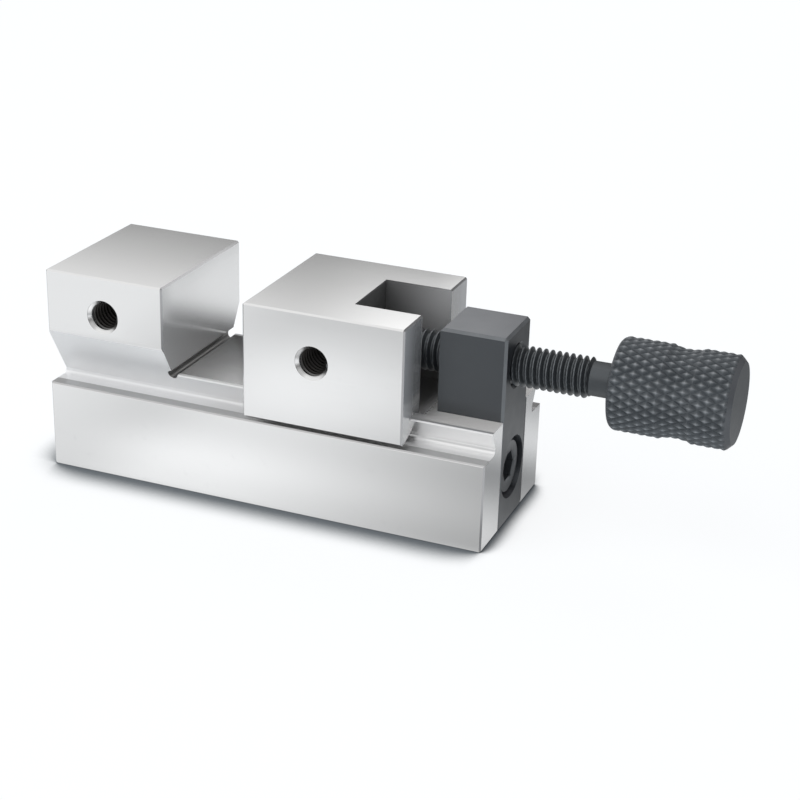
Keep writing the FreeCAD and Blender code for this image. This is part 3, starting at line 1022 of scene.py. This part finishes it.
# Painted shade in the jaw's pocket: darker towards its inner end, on its end wall and towards its bottom.
POCKET = Patch(
    (12.0, 23.0), (-1.0, 6.0), (17.0, 31.65), grey(0.92),
    roughness=0.45, metal=0.72, inner_shade_tone=grey(0.36),
)
POCKET_END_SHADE = Patch((12.0, 12.2), (-1.0, 5.9), (17.0, 31.4), grey(0.26), roughness=0.45, metal=0.85)
POCKET_FOOT_SHADE = Patch((12.0, 23.0), (-1.0, 6.0), (17.0, 26.0), grey(0.20), roughness=0.45, top_ease=5.0)
PRONG_ENDS = Patch(
    (22.4, 22.6), (6.2, 12.2), (13.4, 32.0), grey(0.92), roughness=0.16, metal=0.55, side_ease=5.5,
)
JAW_PATCHES = (POCKET, POCKET_END_SHADE, POCKET_FOOT_SHADE, PRONG_ENDS)


@dataclass(frozen=True)
class TappedHole:
    """A tapped hole in a side face, in millimetres; its side is -1 for the front and 1 for the back."""

    x: float
    side: int
    z: float
    depth: float


@dataclass
class GroundBlocks:
    """The vise body and the movable jaw, with real threads in their open side holes."""

    thread: Thread = M5_THREAD
    tap_undersize: float = 0.06
    mouth_run: float = 0.3
    accessory_x: float = -25.5
    accessory_z: float = 25.6
    accessory_depth: float = 9.6
    cross_x: float = 8.4
    cross_z: float = 24.3
    cross_depth: float = 7.6
    relief_x: float = -15.5
    relief_z: float = 17.3
    relief_radius: float = 0.74
    # Share of painted shade on the relief groove's wall.
    relief_shade_share: float = 0.7
    half_width: float = 12.5
    past_face: float = 0.1
    weld_reach: float = 0.0005
    tap_sides: int = 48
    tap_steps: int = 16

    def build(self) -> None:
        """Copy each block, tap its holes and dress it."""
        front_hole = TappedHole(self.accessory_x, -1, self.accessory_z, self.accessory_depth)
        back_hole = replace(front_hole, side=1)
        jaw_hole = TappedHole(self.cross_x, -1, self.cross_z, self.cross_depth)
        body_finish = GroundSteel(
            "ground_steel_body",
            patches=BODY_PATCHES,
            holes=(
                CrossHole(self.accessory_x, self.accessory_z),
                CrossHole(
                    self.relief_x, self.relief_z, self.relief_radius, self.half_width + self.past_face,
                    mouth_share=self.relief_shade_share, depth_share=self.relief_shade_share,
                ),
            ),
        )
        jaw_finish = GroundSteel(
            "ground_steel_jaw",
            patches=JAW_PATCHES,
            holes=(CrossHole(self.cross_x, self.cross_z),),
        )
        self.tapped_block("vise_body", Rides.BASE, (front_hole, back_hole), body_finish)
        self.tapped_block("movable_jaw", Rides.JAW, (jaw_hole,), jaw_finish)

    def tapped_block(self, node: str, body: Rides, holes: tuple[TappedHole, ...], finish: Finish) -> None:
        """Copy one block from the frame with threads cut into its holes.

        Args:
            node: the block's node.
            body: the body that it rides on.
            holes: the holes to tap.
            finish: the block's finish.
        """
        name = "%s_ground" % node
        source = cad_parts[node].data
        mesh = bpy.data.meshes.new(name)
        corner_places = [tuple(vertex.co) for vertex in source.vertices]
        mesh.from_pydata(corner_places, [], [tuple(face.vertices) for face in source.polygons])
        welded = bmesh.new()
        welded.from_mesh(mesh)
        bmesh.ops.remove_doubles(welded, verts=welded.verts, dist=self.weld_reach * MM)
        bmesh.ops.recalc_face_normals(welded, faces=welded.faces)
        welded.to_mesh(mesh)
        welded.free()
        block = placed(name, mesh)
        for hole in holes:
            self.tap(block, hole)
        block.data.name = name
        smooth(block.data)
        Dressed(block, body, Slot.STEEL, finish, (node,)).apply()

    def tap(self, block: bpy.types.Object, hole: TappedHole) -> None:
        """Cut one thread into a block with a cutter shaped like a tap.

        Args:
            block: the block.
            hole: the hole that gets the thread.
        """
        inward = Matrix.Rotation(math.radians(90) * -hole.side, 4, "Z")
        mouth = turned_place(hole.x, self.half_width * hole.side, hole.z, inward)
        cutter = self.tap_mesh(hole.depth).build("tap", mouth)
        cut = block.modifiers.new("tap", "BOOLEAN")
        cut.operation = "DIFFERENCE"
        cut.solver = "EXACT"
        cut.object = cutter
        bpy.context.view_layer.update()
        shaped = block.evaluated_get(bpy.context.evaluated_depsgraph_get())
        block.data = bpy.data.meshes.new_from_object(shaped)
        block.modifiers.clear()
        bpy.data.objects.remove(cutter)

    def tap_mesh(self, depth: float) -> TurnedMesh:
        """Outline a tap: its thread, with a core just under the hole's size.

        Args:
            depth: the hole's depth.

        Returns:
            The tap's mesh.
        """
        core = self.thread.major / 2 - self.thread.depth - self.tap_undersize
        turned = TurnedMesh(self.tap_sides)
        turned.trace((-self.mouth_run, 0), (-self.mouth_run, core))
        start = self.thread.pitch / 4

        def rule(x: float, angle: float) -> float:
            """The tap's radius, faded in at its two ends."""
            fade = min(1.0, (x - start) / self.thread.pitch, (depth - x) / self.thread.pitch)
            return core + max(0.0, fade) * (self.thread.radius(x, angle) - core)

        count = round((depth - start) / self.thread.pitch * self.tap_steps)
        turned.follow(evenly(start, depth, count), rule)
        turned.trace((depth, 0))
        return turned


@dataclass
class ScrewBracket:
    """The nut block in the body's end slot, which keeps its own shape."""

    finish: Finish = EdgedOxide("black_oxide_block")

    def build(self) -> None:
        """Dress the block."""
        Dressed(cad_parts["screw_bracket"], Rides.BASE, Slot.OXIDE, self.finish).apply()


@dataclass
class ClampingScrew:
    """The M6 screw from its nose in the jaw to its shank in the knob."""

    axis_z: float = 24.3
    thread: Thread = Thread(major=6.0, pitch=1.0)
    nose_radius: float = 2.3
    nose_length: float = 7.1
    groove_radius: float = 1.6
    groove_middle: float = -3.73
    groove_width: float = 3.6
    neck_radius: float = 2.5
    bevel: float = 0.4
    thread_length: float = 34.07
    run_out_slope: float = 1.2
    sides: int = 72

    def build(self) -> None:
        """Turn, thread and dress the screw."""
        low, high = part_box("clamping_screw")
        shoulder = low.x / MM + self.nose_length
        end = (high.x - low.x) / MM - self.nose_length
        groove_start = self.groove_middle - self.groove_width / 2
        groove_end = self.groove_middle + self.groove_width / 2
        turned = TurnedMesh(self.sides)
        turned.trace(
            (-self.nose_length, 0),
            (-self.nose_length, self.nose_radius - self.bevel),
            (-self.nose_length + self.bevel, self.nose_radius),
            (groove_start, self.nose_radius),
            (groove_start, self.groove_radius),
            (groove_end, self.groove_radius),
            (groove_end, self.nose_radius),
            (0.0, self.nose_radius),
        )
        self.thread.cut(turned, 0.0, self.thread_length, self.envelope)
        turned.trace((self.thread_length, self.neck_radius), (end, self.neck_radius), (end, 0))
        screw = turned.build("clamping_screw_threaded", turned_place(shoulder, 0, self.axis_z))
        finish = CrestedOxide(
            "black_oxide_thread",
            tone=(0.02, 0.023, 0.026, 1.0),
            pale_tone=(0.036, 0.040, 0.044, 1.0),
            crest_radius=self.thread.major / 2,
            crest_depth=0.45,
            # Crests paler as wear and as painted highlight.
            crest_wear_and_highlight_tone=(0.11, 0.115, 0.12, 1.0),
            # Painted shade on the crests between the jaw and the bracket.
            gap_shade_start=0.2,
        )
        Dressed(screw, Rides.SCREW, Slot.OXIDE, finish, ("clamping_screw",)).apply()

    def envelope(self, x: float) -> float:
        """Outline the blank before threading, bevelled at both ends.

        Args:
            x: the place along the thread.

        Returns:
            The blank's radius there.
        """
        full = self.thread.major / 2
        lead = full - self.bevel + x
        run_out = self.neck_radius + (self.thread_length - x) * self.run_out_slope
        return min(full, lead, run_out)


@dataclass
class KnurledKnob:
    """The knob with its diamond knurl, its shallow waist and its plain outer end."""

    axis_z: float = 24.3
    radius: float = 6.7
    length: float = 17.4
    bore_radius: float = 2.5
    bore_depth: float = 10.0
    inner_round: float = 1.2
    outer_bevel: float = 0.9
    waist_depth: float = 0.4
    waist_width: float = 4.6
    waist_place: float = 9.5
    diamonds_round: int = 30
    diamond_length: float = 2.35
    knurl_depth: float = 0.32
    knurl_flat: float = 0.10
    steps: int = 12

    def build(self) -> None:
        """Turn, knurl and dress the knob."""
        low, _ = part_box("knurled_knob")
        turned = TurnedMesh(self.diamonds_round * self.steps)
        turned.trace((self.bore_depth, 0), (self.bore_depth, self.bore_radius), (0.0, self.bore_radius))
        count = round(self.length / (self.diamond_length / self.steps))
        turned.follow(evenly(0.0, self.length, count), self.knurled_radius)
        turned.trace((self.length, 0))
        knob = turned.build("knurled_knob_turned", turned_place(low.x / MM, 0, self.axis_z))
        finish = CrestedOxide(
            "black_oxide_knurl",
            tone=(0.034, 0.039, 0.044, 1.0),
            pale_tone=(0.052, 0.059, 0.066, 1.0),
            ior=1.65,
            crest_radius=self.radius,
            crest_depth=self.knurl_depth,
            waist_middle=low.x / MM + self.waist_place,
            waist_half=self.waist_width / 2,
            waist_depth=self.waist_depth,
            # Painted highlight on the knob's bevels.
            rim_highlight_tone=(0.09, 0.092, 0.098, 1.0),
        )
        Dressed(knob, Rides.SCREW, Slot.OXIDE, finish, ("knurled_knob",)).apply()

    def knurled_radius(self, x: float, angle: float) -> float:
        """The knob's radius with its knurl and its waist."""
        return min(self.envelope(x), self.waist(x) - self.knurl_drop(x, angle))

    def knurl_drop(self, x: float, angle: float) -> float:
        """Shape the knurl: blunt pyramids between two sets of crossing grooves.

        Args:
            x: the place along the knob.
            angle: the angle about it.

        Returns:
            How far the knurl lies below the outline.
        """
        around = self.diamonds_round * angle / FULL_TURN
        along = x / self.diamond_length
        ridges = [1 - abs((around + sign * along) % 1.0 * 2 - 1) for sign in (1, -1)]
        height = min(1.0, min(ridges) / (1 - self.knurl_flat))
        return self.knurl_depth * (1 - height)

    def envelope(self, x: float) -> float:
        """Outline the knob as turned, which the knurl never passes.

        Args:
            x: the place along the knob.

        Returns:
            The outline's radius there.
        """
        rounded = self.radius
        if x < self.inner_round:
            short = self.inner_round - x
            rounded = self.radius - self.inner_round + math.sqrt(self.inner_round ** 2 - short ** 2)
        bevelled = self.radius - self.outer_bevel + (self.length - x)
        return min(rounded, bevelled)

    def waist(self, x: float) -> float:
        """Hollow the knob.

        Args:
            x: the place along the knob.

        Returns:
            The waist's radius there, or the knob's own off the waist.
        """
        chord = self.waist_width / 2
        hollow = (chord ** 2 + self.waist_depth ** 2) / (2 * self.waist_depth)
        off = x - self.waist_place
        if abs(off) >= chord:
            return self.radius
        return self.radius - self.waist_depth + hollow - math.sqrt(hollow ** 2 - off ** 2)


@dataclass
class SocketScrew:
    """A black hexagon socket screw, its socket facing its own +X."""

    node: str
    body: Rides
    thread: Thread
    socket_width: float
    socket_depth: float
    bevel: float = 0.4
    mouth_bevel: float = 0.12
    mouth_depth: float = 0.15
    bottom_share: float = 0.98
    point_share: float = 0.5

    def dress(self, turned: TurnedMesh, place: Matrix) -> None:
        """Make the screw from its outline and dress it.

        Args:
            turned: the outline.
            place: where the screw's head stands.
        """
        screw = turned.build("%s_turned" % self.node, place)
        finish = BlackOxide("black_oxide_fastener", roughness=0.32)
        Dressed(screw, self.body, Slot.FASTENER, finish, (self.node,)).apply()

    def add_socket(self, turned: TurnedMesh) -> None:
        """Sink the hexagon socket with its drilled bottom, from the middle outwards.

        Args:
            turned: the outline that gets the socket.
        """
        flat = self.socket_width / 2
        corner = flat / math.cos(FULL_TURN / 12)
        point = -self.socket_depth - flat * self.point_share
        turned.trace((point, 0), (-self.socket_depth, flat * self.bottom_share))
        turned.trace((-self.socket_depth, flat), (-self.mouth_depth, flat), outline=Outline.HEXAGON)
        turned.trace((0, corner + self.mouth_bevel))


@dataclass
class CapScrew(SocketScrew):
    """The bracket's socket head cap screw, with the straight knurl of its head."""

    head_radius: float = 4.25
    head_height: float = 5.0
    length: float = 16.0
    ridges: int = 36
    ridge_depth: float = 0.12
    ridge_foot_share: float = 0.82
    ridge_lead: float = 0.1
    ridge_run_out: float = 0.15
    sides_per_ridge: int = 4

    def build(self) -> None:
        """Turn the head, its ridges and the threaded shank."""
        low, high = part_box(self.node)
        centre = (low + high) / 2 / MM
        turned = TurnedMesh(self.ridges * self.sides_per_ridge)
        self.add_socket(turned)
        valley = self.head_radius - self.ridge_depth
        turned.trace((0, self.head_radius - self.bevel), (-self.bevel, valley))
        top, foot = -self.bevel - self.ridge_lead, -self.head_height * self.ridge_foot_share
        turned.follow([top, foot], lambda _, angle: self.ridge_radius(angle))
        tip = -self.head_height - self.length
        shank = self.thread.major / 2
        turned.trace((foot - self.ridge_run_out, valley), (-self.head_height, valley))
        turned.trace((-self.head_height, shank))

        def envelope(x: float) -> float:
            """The shank's outline, bevelled at its tip."""
            return min(shank, shank - self.bevel + (x - tip))

        self.thread.cut(turned, -self.head_height, tip, envelope)
        turned.trace((tip, 0))
        self.dress(turned, turned_place(high.x / MM, centre.y, centre.z))

    def ridge_radius(self, angle: float) -> float:
        """The head's radius over its ridges."""
        phase = angle / FULL_TURN * self.ridges % 1.0
        return self.head_radius - self.ridge_depth * abs(phase * 2 - 1)


@dataclass
class NoseSetScrew(SocketScrew):
    """The dog point set screw in the jaw's back hole."""

    length: float = 8.0
    dog_radius: float = 1.75
    dog_length: float = 2.5
    sides: int = 72

    def build(self) -> None:
        """Turn the threaded body and its dog."""
        low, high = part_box(self.node)
        centre = (low + high) / 2 / MM
        turned = TurnedMesh(self.sides)
        self.add_socket(turned)
        radius = self.thread.major / 2
        dog_start = self.dog_length - self.length

        def envelope(x: float) -> float:
            """The body's outline, bevelled at both ends."""
            return min(radius, radius - self.bevel - x, radius - self.bevel + (x - dog_start))

        self.thread.cut(turned, 0, dog_start, envelope)
        turned.trace((dog_start, self.dog_radius), (-self.length, self.dog_radius), (-self.length, 0))
        outward = Matrix.Rotation(math.radians(90), 4, "Z")
        self.dress(turned, turned_place(centre.x, high.y / MM, centre.z, outward))


@dataclass(frozen=True)
class SoftBox:
    """One area lamp aimed at the vise, in metres and watts."""

    name: str
    place: tuple[float, float, float]
    size: tuple[float, float]
    power: float

    def build(self) -> None:
        """Add the lamp."""
        lamp = bpy.data.lights.new(self.name, "AREA")
        lamp.shape = "RECTANGLE"
        lamp.size, lamp.size_y = self.size
        lamp.energy = self.power
        made = placed(self.name, lamp)
        made.visible_glossy = False
        made.location = self.place
        made.rotation_mode = "QUATERNION"
        made.rotation_quaternion = Vector(self.place).to_track_quat("Z", "Y")


@dataclass
class Studio:
    """Floor, reflector card, lamps, surroundings and camera."""

    floor_half: float = 3.0
    floor_cells: int = 4
    floor_drop: float = 0.00002
    floor_finish: Finish = StudioFloor("pale_studio_floor")
    world_tone: Colour = (0.93, 0.95, 1.0, 1.0)
    world_level: float = 0.45
    sky_span: Span = (0.10, 0.45)
    sky_levels: Span = (0.40, 0.92)
    side_span: Span = (0.05, 0.50)
    side_shares: Span = (1.0, 0.60)
    camera_place: tuple[float, float, float] = (0.10653, -0.22677, 0.11997)
    camera_azimuth: float = 21.512
    camera_elevation: float = 23.197
    camera_roll: float = 1.711
    focal_pixels: float = 1794.8
    nearest_seen: float = 0.01
    boxes: tuple[SoftBox, ...] = (
        SoftBox("key_softbox", (-0.35, -0.45, 0.60), (0.9, 0.9), power=3.4),
        SoftBox("back_softbox", (0.1, 0.7, 0.7), (1.0, 0.6), power=1.6),
    )
    card_finish: Finish = ReflectorCard("reflector_card")
    card_left: float = -0.30
    card_right: float = 0.16
    card_foot: float = 0.026
    card_top: float = 0.30
    card_behind: float = 0.060

    def build(self) -> None:
        """Make everything round the vise."""
        self.build_floor()
        self.build_card()
        self.build_world()
        for box in self.boxes:
            box.build()
        self.build_camera()
        bpy.context.scene.view_settings.view_transform = "Standard"

    def build_floor(self) -> None:
        """A flat floor under the vise."""
        grid = bmesh.new()
        cells = self.floor_cells
        bmesh.ops.create_grid(grid, x_segments=cells, y_segments=cells, size=self.floor_half)
        mesh = bpy.data.meshes.new("studio_floor")
        grid.to_mesh(mesh)
        grid.free()
        mesh.materials.append(self.floor_finish.material())
        floor = placed("studio_floor", mesh)
        floor.location.z = -self.floor_drop

    def build_card(self) -> None:
        """A card behind the vise that lights nothing and shows only in its reflections."""
        mesh = bpy.data.meshes.new("reflector_card")
        places = [(x, self.card_behind, z) for x, z in (
            (self.card_left, self.card_foot),
            (self.card_right, self.card_foot),
            (self.card_right, self.card_top),
            (self.card_left, self.card_top),
        )]
        mesh.from_pydata(places, [], [(0, 1, 2, 3)])
        mesh.materials.append(self.card_finish.material())
        card = placed("reflector_card", mesh)
        card.visible_camera = False
        card.visible_diffuse = False
        card.visible_shadow = False
        card.visible_transmission = False

    def build_world(self) -> None:
        """Soft surroundings, plain white where they are seen and graded where metal mirrors them."""
        world = bpy.data.worlds.new("studio")
        world.use_nodes = True
        shader = Shader(world.node_tree)
        seen, mirrored = shader.sight()
        direction = shader.node("ShaderNodeTexCoord", {}, {}, "Generated")
        sideways, _, upwards = shader.axes(direction)
        sky = shader.eased(upwards, self.sky_span, self.sky_levels)
        side = shader.eased(sideways, self.side_span, self.side_shares)
        shaded = shader.between(mirrored, self.world_level, sky * side)
        level = shader.between(seen, shaded, 1.0)
        tone = shader.blend((seen + mirrored).held(), self.world_tone, grey(1.0))
        ground = shader.node("ShaderNodeBackground", {}, {"Color": tone, "Strength": level})
        shader.node("ShaderNodeOutputWorld", {}, {"Surface": ground})
        bpy.context.scene.world = world

    def build_camera(self) -> None:
        """The camera that was fitted to the edges of the photo."""
        azimuth = math.radians(self.camera_azimuth)
        elevation = math.radians(self.camera_elevation)
        back = Vector((
            math.sin(azimuth) * math.cos(elevation),
            -math.cos(azimuth) * math.cos(elevation),
            math.sin(elevation),
        ))
        right = Vector((0, 0, 1)).cross(back).normalized()
        up = back.cross(right)
        level = Matrix((right, up, back)).transposed().to_4x4()
        data = bpy.data.cameras.new("photo_camera")
        data.sensor_width = SENSOR_WIDTH
        data.lens = self.focal_pixels * SENSOR_WIDTH / PHOTO_WIDTH
        data.clip_start = self.nearest_seen
        camera = placed("photo_camera", data)
        roll = Matrix.Rotation(math.radians(self.camera_roll), 4, "Z")
        camera.matrix_world = Matrix.Translation(self.camera_place) @ level @ roll
        bpy.context.scene.camera = camera


def corners(bounds: tuple[Vector, Vector]) -> list[list[float]]:
    """A box's two corners as plain lists."""
    return [list(corner) for corner in bounds]


def main() -> None:
    """Build and dress the vise, then the studio round it."""
    logging.basicConfig(level=logging.INFO)
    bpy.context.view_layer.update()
    GroundBlocks().build()
    ScrewBracket().build()
    ClampingScrew().build()
    KnurledKnob().build()
    CapScrew("bracket_cap_screw", Rides.BASE, M5_THREAD, socket_width=4.0, socket_depth=2.5).build()
    NoseSetScrew("nose_set_screw", Rides.JAW, M5_THREAD, socket_width=2.5, socket_depth=2.6).build()
    Studio().build()


if __name__ == "__main__":
    main()
